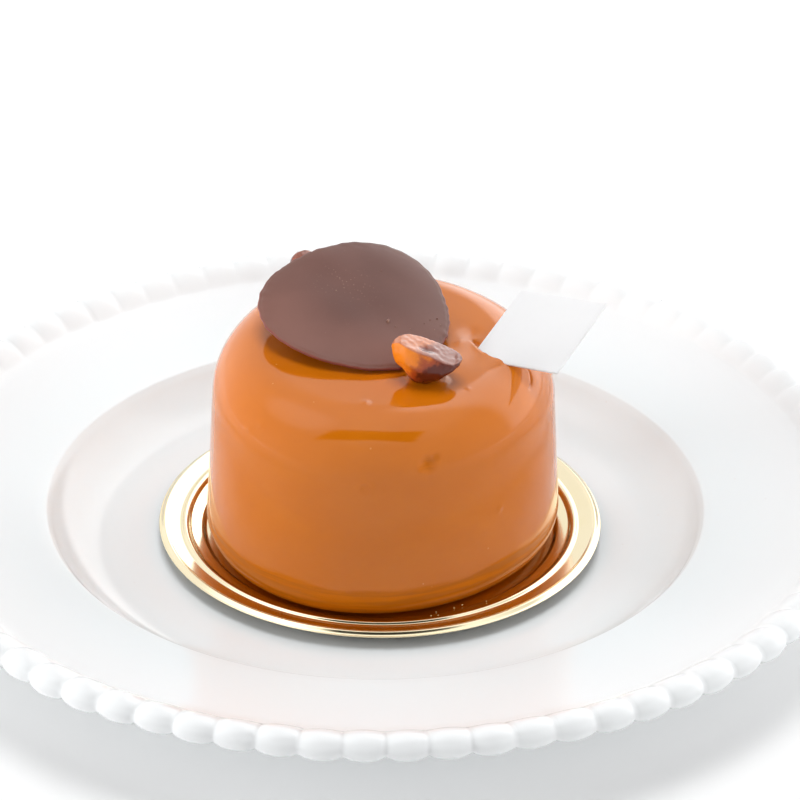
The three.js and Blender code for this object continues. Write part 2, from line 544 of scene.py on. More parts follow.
@dataclass(frozen=True)
class Porcelain(Finish):
    """White glazed china: a clear gloss over a body painted a trace cooler in the well and on the marly,
    which cancels the warm light bouncing off the cake.
    """

    name: str = "glazed_porcelain"
    body: Colour = (0.805, 0.822, 0.832)
    thin: Colour = (0.795, 0.81, 0.82)
    # painted tint: cooler, where the cake's warm bounce light falls on the plate
    painted_tint: Colour = (0.768, 0.828, 0.850)
    pin: Colour = (0.72, 0.70, 0.68)
    gloss: float = 0.1
    layers: Layers = (Relief(14.0, 1.0, 0.05), Relief(1.6, 2.0, 0.004, 0.4))

    def paint(self, shop: FinishShop) -> None:
        """Faint cloudy tint, a painted cool tint against the cake's warm bounce light, a slow waviness
        in the glaze and a few pin marks.

        Args:
            shop: Where the nodes are made.
        """
        cloud = shop.noise(22.0, 3.0)
        pins = shop.grains(9.0).step(0.035, 0.02) * 0.35
        colour = shop.mix(cloud.step(0.35, 0.8) * 0.5, self.body, self.thin)
        # painted cool tint over the well and marly, cancelling the cake's warm bounce light
        colour = shop.mix(shop.attribute("painted_light"), colour, self.painted_tint)
        shop.surface(
            Base_Color=shop.mix(pins, colour, self.pin),
            Roughness=self.gloss + 0.05 * shop.noise(30.0),
            Normal=shop.relief(*self.layers),
            IOR=1.5,
        )


@dataclass(frozen=True)
class GoldFoil(Finish):
    """Thin metal foil on card: bright gold over the board, bare grey-brown card at its cut edge."""

    name: str = "gold_foil"
    foil: Colour = (0.87, 0.765, 0.53)
    deep: Colour = (0.85, 0.73, 0.45)
    card: Colour = (0.30, 0.25, 0.18)
    layers: Layers = (Relief(1.1, 3.0, 0.004, 0.5, (1.0, 1.0, 0.3)), Relief(12.0, 3.0, 0.03))

    def paint(self, shop: FinishShop) -> None:
        """Foil with a drawn grain and a slow colour change, and card where it is bare.

        Args:
            shop: Where the nodes are made.
        """
        bare = shop.attribute("bare")
        colour = shop.mix(shop.noise(12.0, 3.0).step(0.4, 0.75) * 0.35, self.foil, self.deep)
        shop.surface(
            Base_Color=shop.mix(bare, colour, self.card),
            Metallic=1.0 - bare,
            Roughness=0.09 + 0.06 * shop.noise(2.5, 2.0) + 0.4 * bare,
            Normal=shop.relief(*self.layers),
        )


@dataclass(frozen=True)
class CaramelGlaze(Finish):
    """Mirror glaze: deep amber, a little milkier where it is thick, with a wet skin."""

    name: str = "caramel_glaze"
    amber: Colour = (0.56, 0.142, 0.002)
    milky: Colour = (0.60, 0.162, 0.004)
    # painted shade colour for the lowest band of the side, next to the board
    dark: Colour = (0.47, 0.122, 0.001)
    deep: Colour = (0.38, 0.094, 0.001)
    speck: Colour = (0.85, 0.45, 0.14)
    streak: Stretch = (0.06, 0.06, 1.0)
    layers: Layers = (Relief(9.0, 1.0, 0.05), Relief(1.7, 2.0, 0.004))

    def paint(self, shop: FinishShop) -> None:
        """Amber mixed by slow clouds, with fine flow marks and painted shade on the lowest band; clear
        and streaked at the foot.

        Args:
            shop: Where the nodes are made.
        """
        cloud = shop.noise(16.0, 4.0, (1.0, 1.0, 1.6), 0.55)
        colour = shop.mix(cloud.step(0.35, 0.75) * 0.55, self.amber, self.milky)
        colour = shop.mix(shop.noise(2.2, 3.0).step(0.55, 0.8) * 0.12, colour, self.milky)
        # painted shade: darker towards the bottom of the cake, where it meets the board
        colour = shop.mix(shop.attribute("painted_light"), colour, self.dark)
        specks = shop.grains(5.5).step(0.045, 0.02) * shop.noise(24.0).step(0.5, 0.6)
        wet = shop.shader(
            Base_Color=shop.mix(specks * 0.35, colour, self.speck),
            Roughness=0.05 + 0.05 * cloud,
            Normal=shop.relief(*self.layers),
            IOR=1.46,
        )
        lines = shop.noise(1.1, 3.0, self.streak).step(0.38, 0.66)
        clear = shop.shader(
            Base_Color=shop.mix(lines, self.amber, self.deep),
            Roughness=0.2 + 0.1 * lines,
            Specular_IOR_Level=0.04,
        )
        shop.end(shop.blend(shop.attribute("clear") * (0.88 - 0.3 * lines), wet, clear))


@dataclass(frozen=True)
class Chocolate(Finish):
    """Tempered dark chocolate: satin, dusty in patches, with a redder broken edge and a painted paler
    sheen towards the rim on one side.
    """

    name: str = "dark_chocolate"
    body: Colour = (0.090, 0.029, 0.019)
    bloom_and_sheen: Colour = (0.23, 0.10, 0.076)
    powder: Colour = (0.42, 0.27, 0.18)
    snapped: Colour = (0.22, 0.055, 0.040)
    layers: Layers = (Relief(0.9, 3.0, 0.012, 0.4), Relief(6.0, 2.0, 0.015))

    def paint(self, shop: FinishShop) -> None:
        """Satin brown with cloudy bloom, a painted sheen towards the rim, pin dust and a redder broken
        edge.

        Args:
            shop: Where the nodes are made.
        """
        cloud = shop.noise(13.0, 4.0)
        dust_and_sheen = shop.attribute("dust") + shop.noise(7.0, 2.0).step(0.55, 0.8) * 0.3
        dust = shop.grains(0.8).step(0.22, 0.08) * dust_and_sheen
        # paler in clouds of bloom, and towards the rim as a painted sheen
        pale = cloud.step(0.35, 0.75) * 0.15 + shop.attribute("rim") * 0.6
        colour = shop.mix(pale, self.body, self.bloom_and_sheen)
        colour = shop.mix(dust * 0.4, colour, self.powder)
        shop.surface(
            Base_Color=shop.mix(shop.attribute("edge") * 0.8, colour, self.snapped),
            Roughness=0.34 + 0.12 * cloud,
            Specular_IOR_Level=0.38,
            Normal=shop.relief(*self.layers),
            IOR=1.45,
        )


@dataclass(frozen=True)
class CandiedSkin(Finish):
    """Nut skin under caramel: orange where it is thin, dark red-brown in blotches and in painted shade
    low down, wet on top, with a painted pink sheen on the flat top.
    """

    name: str = "candied_nut"
    thin: Colour = (0.80, 0.22, 0.008)
    mid: Colour = (0.36, 0.058, 0.010)
    # dark blotches, and also the painted shade low down and on one flank
    burnt_and_shaded: Colour = (0.10, 0.012, 0.004)
    # painted sheen: these two pinks on the flat top stand in for its gloss
    painted_sheen_dark: Colour = (0.235, 0.068, 0.040)
    painted_sheen_light: Colour = (0.52, 0.17, 0.07)
    layers: Layers = (Relief(1.8, 3.0, 0.06, 0.3), Relief(0.45, 2.0, 0.006, 0.3))

    def paint(self, shop: FinishShop) -> None:
        """Three browns on two clouds, darker low down and on one flank as painted shade, a flat top
        painted pink as a sheen with dark pits, and a broken gloss.

        Args:
            shop: Where the nodes are made.
        """
        cloud = shop.noise(4.0, 4.0, roughness=0.6)
        patch = shop.noise(1.9, 4.0, roughness=0.62)
        tone_and_shade, facet = shop.attribute("tone_and_shade"), shop.attribute("facet")
        colour = shop.mix((tone_and_shade + (cloud - 0.5) * 0.7).step(0.28, 0.55), self.thin, self.mid)
        colour = shop.mix((tone_and_shade + (patch - 0.5) * 0.9).step(0.50, 0.78), colour, self.burnt_and_shaded)
        # painted sheen on the flat top, pinker at one end
        dust_and_sheen = shop.mix(tone_and_shade.step(0.2, 0.5), self.painted_sheen_light, self.painted_sheen_dark)
        pits = (patch - facet * 0.02).step(0.60, 0.70) * 0.8
        shop.surface(
            Base_Color=shop.mix(facet * (1.0 - pits), colour, dust_and_sheen),
            Roughness=0.13 + 0.12 * patch,
            Normal=shop.relief(*self.layers),
            Specular_IOR_Level=0.25,
            Coat_Weight=0.5,
            Coat_Roughness=0.06,
            Coat_IOR=1.5,
            IOR=1.46,
        )


@dataclass(frozen=True)
class Grain(Finish):
    """A broken grain of chocolate or caramel."""

    name: str = "grain"
    body: Colour = (0.20, 0.075, 0.055)
    pale: Colour = (0.34, 0.20, 0.14)

    def paint(self, shop: FinishShop) -> None:
        """Two browns on a fine cloud, with a broken sheen.

        Args:
            shop: Where the nodes are made.
        """
        cloud = shop.noise(0.4, 2.0)
        shop.surface(
            Base_Color=shop.mix(cloud.step(0.35, 0.65), self.body, self.pale),
            Roughness=0.35 + 0.2 * cloud,
            Normal=shop.relief(Relief(0.2, 2.0, 0.02)),
        )


@dataclass(frozen=True)
class CoatedCard(Finish):
    """Thin white card with a faint fibre and a soft sheen."""

    name: str = "white_card"
    white: Colour = (0.73, 0.73, 0.737)
    fibre: Colour = (0.70, 0.70, 0.71)

    def paint(self, shop: FinishShop) -> None:
        """White with a trace of cloud in it and a fine tooth.

        Args:
            shop: Where the nodes are made.
        """
        cloud = shop.noise(3.0, 4.0)
        shop.surface(
            Base_Color=shop.mix(cloud.step(0.4, 0.8) * 0.25, self.white, self.fibre),
            Roughness=0.42 + 0.08 * cloud,
            Normal=shop.relief(Relief(0.35, 2.0, 0.006, 0.4)),
        )


@dataclass(frozen=True)
class TableTop(Finish):
    """Plain matt white table that glows as painted light, more so far away from the plate."""

    name: str = "white_table"
    white: Colour = (0.71, 0.71, 0.71)
    shade: Colour = (0.70, 0.70, 0.705)
    painted_glow: Colour = (0.20, 0.20, 0.20)
    painted_far_glow: Colour = (0.75, 0.75, 0.75)

    def paint(self, shop: FinishShop) -> None:
        """White with the slightest cloud and a painted glow, stronger far away from the plate.

        Args:
            shop: Where the nodes are made.
        """
        # painted light: the glow grows from near the plate to far away, lifting the plate's shadow
        far = shop.away().step(0.45, 0.95)
        shop.surface(
            Base_Color=shop.mix(shop.noise(400.0) * 0.2, self.white, self.shade),
            Roughness=0.7,
            Specular_IOR_Level=0.1,
            Emission_Color=shop.mix(far, self.painted_glow, self.painted_far_glow),
            Emission_Strength=1.0,
        )


# ---------------------------------------------------------------- plate


@dataclass
class BeadedPlate:
    """White plate: a flat well with a hollow wall, a rising rim and a rope of beads. Millimetres."""

    floor_radius: float = 54.0
    floor_height: float = 4.8
    well_radius: float = 66.75
    well_height: float = 12.7
    rim_radius: float = 89.4
    rim_height: float = 16.98
    ring_radius: float = 96.2
    ring_height: float = 17.9
    bead_count: int = 78
    bead_half_length: float = 5.3
    bead_half_width: float = 2.9
    bead_half_height: float = 2.5
    bead_tail: float = 6.4
    bead_start: float = -128.0
    tail_power: float = 1.6
    droop: float = 1.06
    rim_run: float = 5.0
    wall_run: float = 12.05
    wall_rise: float = 7.4
    lip_round: float = 0.95
    under_end: Pair = (92.0, 14.5)
    first_bead: float = -85.99
    columns_each: int = 12
    finish: Porcelain = Porcelain()

    def bead_share(self, angle: np.ndarray) -> tuple[np.ndarray, np.ndarray]:
        """How full the bead is at an angle, and which bead it is.

        The share is the half-chord of an ellipse, sqrt(1 - (offset / half length)^2), with
        its crease between two beads eased a little.

        Args:
            angle: Angles round the plate in radians.

        Returns:
            The share from about 0.68 to 1, and the bead's number.
        """
        pitch = TURN / self.bead_count
        turns = (angle - math.radians(self.first_bead)) / pitch
        number = np.round(turns)
        offset = (turns - number) * pitch * self.ring_radius
        eased = np.sqrt(offset**2 + 0.05)
        return np.sqrt(np.clip(1.0 - (eased / self.bead_half_length) ** 2, 0.0, 1.0)), number

    def top(self) -> np.ndarray:
        """The upper side from the middle of the well to where the beads begin.

        The well's wall is an arc that leaves the floor level: over a run and a rise it
        turns by twice the angle whose tangent is rise / run.

        Returns:
            Pairs of radius and height.
        """
        run, rise = self.wall_run, self.wall_rise
        wall_angle = 2 * math.degrees(math.atan(rise / run))
        bend = run / math.sin(math.radians(wall_angle))
        middle = (0.0, self.floor_height)
        floor = line(middle, (self.floor_radius, self.floor_height), 9)
        wall = arc((self.floor_radius, self.floor_height + bend), bend, -90.0, -90.0 + wall_angle, 13)
        lip = arc((self.well_radius + 0.35, self.well_height - 0.78), self.lip_round, 152.0, 100.0, 6)
        end = (self.rim_radius, self.rim_height)
        return np.concatenate([[middle], floor, wall, lip, line(tuple(lip[-1]), end, 9), [end]])

    def underside(self) -> np.ndarray:
        """The lower side: a flat middle, the foot ring, the well's slope and the rim.

        Returns:
            Pairs of radius and height, from the middle out to where the beads begin.
        """
        middle, recess_end, slope_start = (0.0, 1.8), (48.2, 1.8), (54.4, 1.6)
        foot_inner, foot_outer, foot_round = 50.6, 52.4, 0.6
        return np.concatenate(
            [
                [middle],
                line(middle, recess_end, 3),
                arc((48.0, 1.0), 0.8, 90.0, 20.0, 4),
                arc((foot_inner, foot_round), foot_round, 200.0, 270.0, 4),
                arc((foot_outer, foot_round), foot_round, 270.0, 330.0, 4),
                [slope_start],
                line(slope_start, (67.75, 9.4), 5),
                arc((69.2, 7.6), 2.2, 128.0, 104.0, 4),
                line((68.7, 9.75), self.under_end, 5),
            ]
        )

    def rings(self) -> np.ndarray:
        """The whole closed skin, from the middle of the underside out over the rim to the well.

        Across a bead the skin is a half ellipse whose two sizes shrink with the bead's
        share; inside the ring it falls to the rim on (1 - t^2)^1.6 over the bead's tail.

        Returns:
            Rings of places.
        """
        columns = self.bead_count * self.columns_each
        angle = even_turn(columns) + math.radians(self.first_bead)
        share, number = self.bead_share(angle)
        chance = np.random.default_rng(31)
        uneven = chance.normal(0.0, 1.0, (3, self.bead_count))[:, number.astype(int) % self.bead_count]
        share = share * (1.0 + 0.02 * uneven[0])
        ring_radius = self.ring_radius + 0.12 * uneven[1]
        width, height = self.bead_half_width * share, self.bead_half_height * share

        parts = [np.tile(row, (columns, 1)) for row in self.underside()]
        start_radius, start_height = self.under_end
        first = math.radians(self.bead_start)
        below = math.radians(-90.0)
        for spot in np.radians(np.linspace(self.bead_start, 88.0, 22)):
            out = ring_radius + width * np.cos(spot)
            up = self.ring_height + np.sin(spot) * (height if spot >= 0 else height * self.droop)
            if spot < below:
                ease = (spot - first) / (below - first)
                out = out * ease + (start_radius + 1.2) * (1 - ease)
                up = up * ease + (start_height + 0.25) * (1 - ease)
            parts.append(np.stack([out, up], axis=1))
        slope = (self.rim_height - self.well_height) / (self.rim_radius - self.well_radius)
        for reach in np.linspace(0.03, 1.0, 14):
            out = ring_radius - reach * self.bead_tail * (0.86 + 0.14 * share)
            rim = self.rim_height + slope * np.minimum(out - self.rim_radius, self.rim_run)
            lift = (self.ring_height + height - rim) * (1.0 - reach**2) ** self.tail_power
            parts.append(np.stack([out, rim + lift], axis=1))
        parts += [np.tile(row, (columns, 1)) for row in self.top()[::-1][1:]]
        radius, level = np.moveaxis(np.stack(parts), -1, 0)
        return np.stack([radius * np.cos(angle), radius * np.sin(angle), level], axis=-1)

    def make(self) -> None:
        """Builds and dresses the plate."""
        rings = self.rings()
        made = MeshMaker.closed("beaded_plate", rings)
        radius = np.hypot(rings[1:-1, :, 0], rings[1:-1, :, 1])
        wall = smooth_step(radius, self.floor_radius - 4.0, self.floor_radius + 4.0)
        # painted cool tint against the cake's bounce light: strongest on the well's wall, fading out
        # across the marly
        painted_light = (0.4 + 0.6 * wall) * smooth_step(radius, self.rim_radius, self.well_radius - 2.0)
        MeshMaker.label(made, "painted_light", painted_light, (0.4, 0.4))
        settle(self.finish.dress(made), "plate")


# ---------------------------------------------------------------- board


@dataclass
class GoldBoard:
    """Round gold card with pressed rings and a narrow raised lip. Millimetres."""

    centre: Pair = (0.94, 0.6)
    base: float = 5.0
    thickness: float = 0.7
    lip_thickness: float = 0.3
    edge_round: float = 0.12
    rings: tuple[Pair, ...] = (
        (0.0, 0.0), (35.4, 0.0), (36.2, 0.75), (38.1, 1.05), (38.5, 1.15), (39.0, 1.72),
        (39.5, 2.02), (39.9, 2.05), (40.3, 1.66), (40.7, 1.66), (43.2, 2.16), (43.6, 2.44),
        (43.9, 2.52), (44.35, 2.18), (44.6, 2.0), (44.85, 1.9),
    )
    under: tuple[Pair, ...] = ((0.0, 0.0), (35.0, 0.0), (37.4, 0.7), (42.6, 0.8))
    softness: float = 0.10
    columns: int = 360
    finish: GoldFoil = GoldFoil()

    def pressed(self, radius: np.ndarray) -> np.ndarray:
        """Height of the pressed top: the named corners joined by straight runs, then blurred.

        Args:
            radius: Distances from the middle.

        Returns:
            Heights above the flat middle.
        """
        corners = np.array(self.rings)
        step, reach = 0.02, 60
        fine = np.arange(0.0, 50.0, step)
        height = np.interp(fine, corners[:, 0], corners[:, 1])
        spread = np.arange(-reach, reach + 1) * step
        weight = np.exp(-0.5 * (spread / self.softness) ** 2)
        padded = np.pad(height, reach, mode="edge")
        return np.interp(radius, fine, np.convolve(padded, weight / weight.sum(), mode="valid"))

    def make(self) -> None:
        """Builds the turned card and dresses it; the underside is marked as bare card."""
        outer = self.rings[-1][0]
        radius = np.concatenate([np.linspace(outer, 35.0, 110), [30.0, 20.0, 10.0, 0.0]])
        upper = np.stack([radius, self.base + self.thickness + self.pressed(radius)], axis=1)
        lower = np.array(self.under) + [0.0, self.base]
        lip = upper[0, 1]
        edge = arc((outer, lip - self.edge_round), self.edge_round, -70.0, 40.0, 6)
        profile = np.concatenate([lower, [[outer - 0.2, lip - self.lip_thickness]], edge, upper])
        rings = MeshMaker.turned(profile, even_turn(self.columns))
        rings[..., :2] += self.centre
        made = MeshMaker.closed("gold_board", rings)
        bare = np.arange(len(profile)) < len(lower) + 4
        MeshMaker.label(made, "bare", np.repeat(bare[1:-1], self.columns), (1.0, 0.0))
        settle(self.finish.dress(made), "board")


# ---------------------------------------------------------------- cake


@dataclass(frozen=True)
class Mark:
    """A dent or pimple in the glaze: where it is and how it is shaped. Millimetres."""

    place: Place
    width: float
    depth: float
    ring: float = 0.0
    clear: float = 0.0

    def reach(self, points: np.ndarray) -> np.ndarray:
        """Distances from the mark, in its widths."""
        return np.linalg.norm(points - np.array(self.place), axis=-1) / self.width

    def clearness(self, points: np.ndarray) -> np.ndarray:
        """How clear and deep the glaze looks: full within the width, then off on exp(-r^4)."""
        return self.clear * bell(self.reach(points) ** 2, 1.05**2)

    def lift(self, points: np.ndarray) -> np.ndarray:
        """Height along the skin: a bell of the distance, with a raised ring round it."""
        reach = self.reach(points)
        return self.ring * np.exp(-((reach - 1.6) ** 2) / 0.3) - self.depth * bell(reach, 1.0)


@dataclass(frozen=True)
class Crack:
    """A slit in the glaze along a line of places, one side lifted over the other. Millimetres."""

    path: tuple[Place, ...]
    width: float
    depth: float
    step: float
    reach: float

    def lift(self, points: np.ndarray) -> np.ndarray:
        """Height along the skin from the nearest point of the line.

        The slit is a bell of the distance. The sides stand apart by the step, which dies
        away on a wider bell; both fade towards the line's two ends.

        Args:
            points: Places on the skin.

        Returns:
            How far each moves outwards.
        """
        nodes = np.array(self.path)
        near = np.full(points.shape[:-1], np.inf)
        side, along = np.zeros_like(near), np.zeros_like(near)
        for number, (start, end) in enumerate(zip(nodes[:-1], nodes[1:])):
            run = end - start
            share = np.clip((points - start) @ run / (run @ run), 0.0, 1.0)
            gap = points - start - share[..., None] * run
            distance = np.linalg.norm(gap, axis=-1)
            closer = distance < near
            near = np.where(closer, distance, near)
            side = np.where(closer, np.sign(run[0] * gap[..., 1] - run[1] * gap[..., 0]), side)
            along = np.where(closer, number + share, along)
        fade = smooth_step(along, 0.0, 0.5) * smooth_step(along, len(nodes) - 1.0, len(nodes) - 2.2)
        stand = 0.5 * self.step * side * bell(near, self.reach)
        return fade * (stand - self.depth * bell(near, self.width))


@dataclass(frozen=True)
class Collar:
    """Glaze drawn up round something that stands in it: an oval ring. Millimetres."""

    centre: Pair
    half_size: Pair
    turn: float
    height: float
    width: float
    lowest: float = 40.0

    def lift(self, points: np.ndarray) -> np.ndarray:
        """Height that dies away on a bell from the oval's edge; inside it stays full.

        Args:
            points: Places on the skin.

        Returns:
            How far each moves outwards.
        """
        away = points[..., :2] - np.array(self.centre)
        cos_t, sin_t = math.cos(self.turn), math.sin(self.turn)
        first = (away[..., 0] * cos_t + away[..., 1] * sin_t) / self.half_size[0]
        second = (away[..., 1] * cos_t - away[..., 0] * sin_t) / self.half_size[1]
        outside = np.clip(np.hypot(first, second) - 1.0, 0.0, None) * min(self.half_size)
        return self.height * bell(outside, self.width) * (points[..., 2] > self.lowest)


FLAP_EDGE: tuple[Place, ...] = (
    (28.4, -4.6, 46.0),
    (30.15, -6.05, 45.1),
    (30.53, -7.04, 44.52),
    (30.4, -8.71, 44.09),
    (29.86, -10.9, 43.73),
)
CARD_NOTCH: tuple[Place, ...] = (
    (19.2, 2.6, 48.0),
    (19.7, 1.7, 48.0),
    (20.51, 0.14, 47.92),
    (21.3, -1.2, 47.8),
    (22.0, -2.2, 47.6),
)


@dataclass
class GlazedCake:
    """A drum of mousse under caramel glaze, with a wide round shoulder. Millimetres."""

    centre: Pair = (1.06, 1.0)
    base: float = 5.9
    height: float = 42.6
    base_radius: float = 36.9
    top_radius: float = 35.3
    base_round: float = 5.4
    top_round: float = 11.6
    oval: Pair = (-1.15, 0.61)
    egg: Pair = (0.48, 0.09)
    lean: Pair = (-1.0, 1.2)
    dip_centre: Pair = (20.7, -3.45)
    foot_height: float = 7.9
    dip_depth: float = 0.3
    dip_size: Pair = (5.0, 5.0)
    low_band: float = 0.12
    # how strong the painted shade is at the very bottom of the side
    painted_tint: float = 0.8
    columns: int = 500
    crowding: float = 0.4
    crowded_side: float = -1.2
    marks: tuple[Mark, ...] = (
        Mark((10.3, -32.8, 39.5), 1.3, 0.6, 0.12, 0.85),
        Mark((11.9, -31.8, 40.5), 0.8, 0.25, 0.0, 0.8),
        Mark((8.9, -33.5, 39.0), 0.7, 0.15, 0.0, 0.7),
        Mark((-1.66, -35.6, 35.65), 0.8, 0.22, 0.12),
        Mark((24.5, -25.1, 25.4), 0.8, -0.25),
        Mark((-1.9, -23.4, 47.75), 0.9, -0.16),
        Mark((-24.4, -23.2, 41.25), 0.6, -0.16),
        Mark((-22.0, -24.6, 42.9), 0.6, -0.16),
        Mark((18.1, -16.8, 47.3), 0.5, -0.14),
        Mark((19.2, 4.8, 48.1), 2.2, 0.3),
        Mark((27.2, -5.8, 46.8), 3.4, -0.7),
        Mark((16.5, 1.0, 48.2), 1.6, -0.2),
    )
    cracks: tuple[Crack, ...] = (
        Crack(FLAP_EDGE, width=0.26, depth=0.5, step=-0.4, reach=1.0),
        Crack(CARD_NOTCH, width=0.5, depth=0.9, step=-0.2, reach=1.2),
    )
    collars: tuple[Collar, ...] = (
        Collar(centre=(10.0, -13.6), half_size=(3.7, 2.5), turn=-0.1, height=0.16, width=0.42),
    )
    finish: CaramelGlaze = CaramelGlaze()

    def profile(self) -> np.ndarray:
        """Half section: a round foot, a straight side, a wide round shoulder and a flat top.

        Returns:
            Pairs of radius and height, from the middle of the base to that of the top.
        """
        low, high = self.base_round, self.top_round
        foot = arc((self.base_radius - low, low), low, -90.0, 0.0, 26)
        shoulder = arc((self.top_radius - high, self.height - high), high, 0.0, 90.0, 60)
        under = line((0.0, 0.0), tuple(foot[0]), 3)
        side = line(tuple(foot[-1]), tuple(shoulder[0]), 44)
        top = line(tuple(shoulder[-1]), (0.0, self.height), 62)
        return np.concatenate([[[0.0, 0.0]], under, foot, side, shoulder, top, [[0.0, self.height]]])

    def angles(self) -> np.ndarray:
        """The angle of each column: s - c sin(s - t), so that they crowd together on the side t."""
        even = even_turn(self.columns)
        return even - self.crowding * np.sin(even - self.crowded_side)

    def top_at(self, x: np.ndarray, y: np.ndarray) -> np.ndarray:
        """Height of the leaning top: a plane through the named height at the centre."""
        across = self.lean[0] * (x - self.centre[0]) / self.top_radius
        return self.base + self.height + across + self.lean[1] * (y - self.centre[1]) / self.top_radius

    def rings(self) -> np.ndarray:
        """The skin: the turned section, stretched by the plan's harmonics and leaned.

        The radius is multiplied by 1 + harmonics / base radius. The height goes from the
        base to the leaning top in proportion, and a bell-shaped dip is taken off near the
        card's sunk corner.

        Returns:
            Rings of places.
        """
        angle = self.angles()
        rings = MeshMaker.turned(self.profile(), angle)
        stretch = 1.0 + harmonics(angle, self.oval, self.egg) / self.base_radius
        share = rings[..., 2] / self.height
        rings[..., 0] = rings[..., 0] * stretch + self.centre[0]
        rings[..., 1] = rings[..., 1] * stretch + self.centre[1]
        rise = self.top_at(rings[..., 0], rings[..., 1]) - self.height
        rings[..., 2] += self.base * (1 - share) + rise * share
        dip = self.dip_depth * oval_bell(rings, self.dip_centre, self.dip_size)
        rings[..., 2] -= dip * smooth_step(share, 0.8, 0.95)
        return rings

    def outward(self, rings: np.ndarray) -> np.ndarray:
        """Unit directions out of the skin, from the cross product of its two tangents.

        Args:
            rings: Rings of places.

        Returns:
            One direction for each place.
        """
        along = np.gradient(rings, axis=0)
        around = (np.roll(rings, -1, axis=1) - np.roll(rings, 1, axis=1)) / 2
        normal = np.cross(around, along)
        length = np.linalg.norm(normal, axis=-1, keepdims=True)
        return np.where(length > TINY, normal / np.maximum(length, TINY), 0.0)

    def make(self) -> None:
        """Builds the skin, moves it by its ripples and marks, and dresses it."""
        rings = self.rings()
        normal = self.outward(rings)
        share = (rings[..., 2] - self.base) / self.height
        lift = 0.035 * Ripple(5, 17.0).at(rings) + 0.008 * Ripple(8, 7.0).at(rings)
        lift = lift * smooth_step(share, 0.0, self.low_band)
        for trace in (*self.marks, *self.cracks, *self.collars):
            lift += trace.lift(rings)
        rings = rings + normal * lift[..., None]
        rings[0] = rings[0].mean(axis=0)
        rings[-1] = rings[-1].mean(axis=0)
        made = MeshMaker.closed("glazed_cake", rings)
        skin, share = rings[1:-1], share[1:-1]
        # painted shade on the lowest band of the side, next to the board
        painted_light = self.painted_tint * smooth_step(share, self.low_band, 0.0)
        MeshMaker.label(made, "painted_light", painted_light, (self.painted_tint, 0.0))
        wavy = self.foot_height + 0.45 * Ripple(14, 16.0, 8).at(skin * [1.0, 1.0, 0.1])
        clear = smooth_step(share * self.height, wavy + 0.35, wavy - 0.25)
        for mark in self.marks:
            clear = np.maximum(clear, mark.clearness(skin))
        MeshMaker.label(made, "clear", clear, (1.0, 0.0))
        settle(self.finish.dress(made), "cake")


# ---------------------------------------------------------------- toppings


@dataclass
class ChocolateDisc:
    """A pressed drop of chocolate that leans on the nuts. Millimetres."""

    centre: Place = (-3.9, 5.6, 53.8)
    radius: float = 19.2
    thickness: float = 1.7
    edge_half: float = 0.42
    dome: float = 0.55
    fall: float = 4.0
    # the side, in radians, where the painted sheen on the rim is strongest
    painted_sheen_side: float = -1.9
    dust_centre: Pair = (-3.0, 3.9)
    dust_size: Pair = (5.5, 4.5)
    normal: Place = (0.1, -0.21, 0.973)
    oval: Pair = (-0.013, 0.006)
    egg: Pair = (-0.036, -0.033)
    columns: int = 300
    finish: Chocolate = Chocolate()

    def make(self) -> None:
        """Builds the drop: a top that falls away on t^p to a thin torn edge."""
        thin, low = self.edge_half, -self.thickness / 2
        flat_radius = self.radius - thin
        edge = arc((flat_radius, low + thin), thin, -90.0, 90.0, 17)
        inner = np.linspace(flat_radius - 0.2, 0.0, 44)
        upper = np.stack([inner, self.top_at(inner)], axis=1)
        lower = np.stack([np.linspace(0.0, flat_radius, 10), np.full(10, low)], axis=1)[:-1]
        profile = np.concatenate([lower, edge, upper])
        angle = even_turn(self.columns)
        rings = MeshMaker.turned(profile, angle)
        stretch = 1.0 + harmonics(angle, self.oval, self.egg)
        rings[..., :2] *= stretch[:, None]
        outer = smooth_step(np.hypot(rings[..., 0], rings[..., 1]), 15.0, 19.0)
        torn = Ripple(12, 2.2).at(rings) * 0.10 * outer + Ripple(3, 9.0).at(rings) * 0.08
        rings[..., 0] += torn * np.cos(angle) * outer
        rings[..., 1] += torn * np.sin(angle) * outer
        rings[..., 2] += 0.05 * Ripple(21, 14.0).at(rings[..., :2]) * (rings[..., 2] > 0)
        made = MeshMaker.closed("chocolate_drop", self.placed(rings))
        row = np.arange(1, len(profile) - 1)
        snapped = (row >= len(lower)) & (row < len(lower) + 13)
        skin = rings[1:-1]
        # painted sheen: a paler band towards the rim, strongest on one side
        lit = 0.45 + 0.55 * np.cos(angle - self.painted_sheen_side)
        rim = smooth_step(np.hypot(skin[..., 0], skin[..., 1]) / self.radius, 0.15, 0.9) * lit
        dust = oval_bell(skin, self.dust_centre, self.dust_size)
        MeshMaker.label(made, "edge", np.repeat(snapped, self.columns), (0.0, 0.0))
        MeshMaker.label(made, "rim", rim, (0.0, 0.3))
        MeshMaker.label(made, "dust", dust, (0.0, 0.3))
        settle(self.finish.dress(made), "chocolate_disc")

    def top_at(self, radius: np.ndarray) -> np.ndarray:
        """Height of the top over the middle plane: it falls to the edge on (radius / edge)^p."""
        low = 2 * self.edge_half - self.thickness / 2
        return low + (self.thickness / 2 + self.dome - low) * (1.0 - (radius / self.radius) ** self.fall)

    def placed(self, points: np.ndarray) -> np.ndarray:
        """Tilts places about the drop's middle and carries them to it."""
        turn = Vector((0, 0, 1)).rotation_difference(Vector(self.normal).normalized()).to_matrix()
        return points @ np.array(turn).T + np.array(self.centre)

    def on_top(self, spots: Sequence[Pair]) -> np.ndarray:
        """Places on the top for pairs of distances from its middle."""
        flat = np.array(spots, float)
        return self.placed(np.column_stack([flat, self.top_at(np.hypot(flat[:, 0], flat[:, 1]))]))


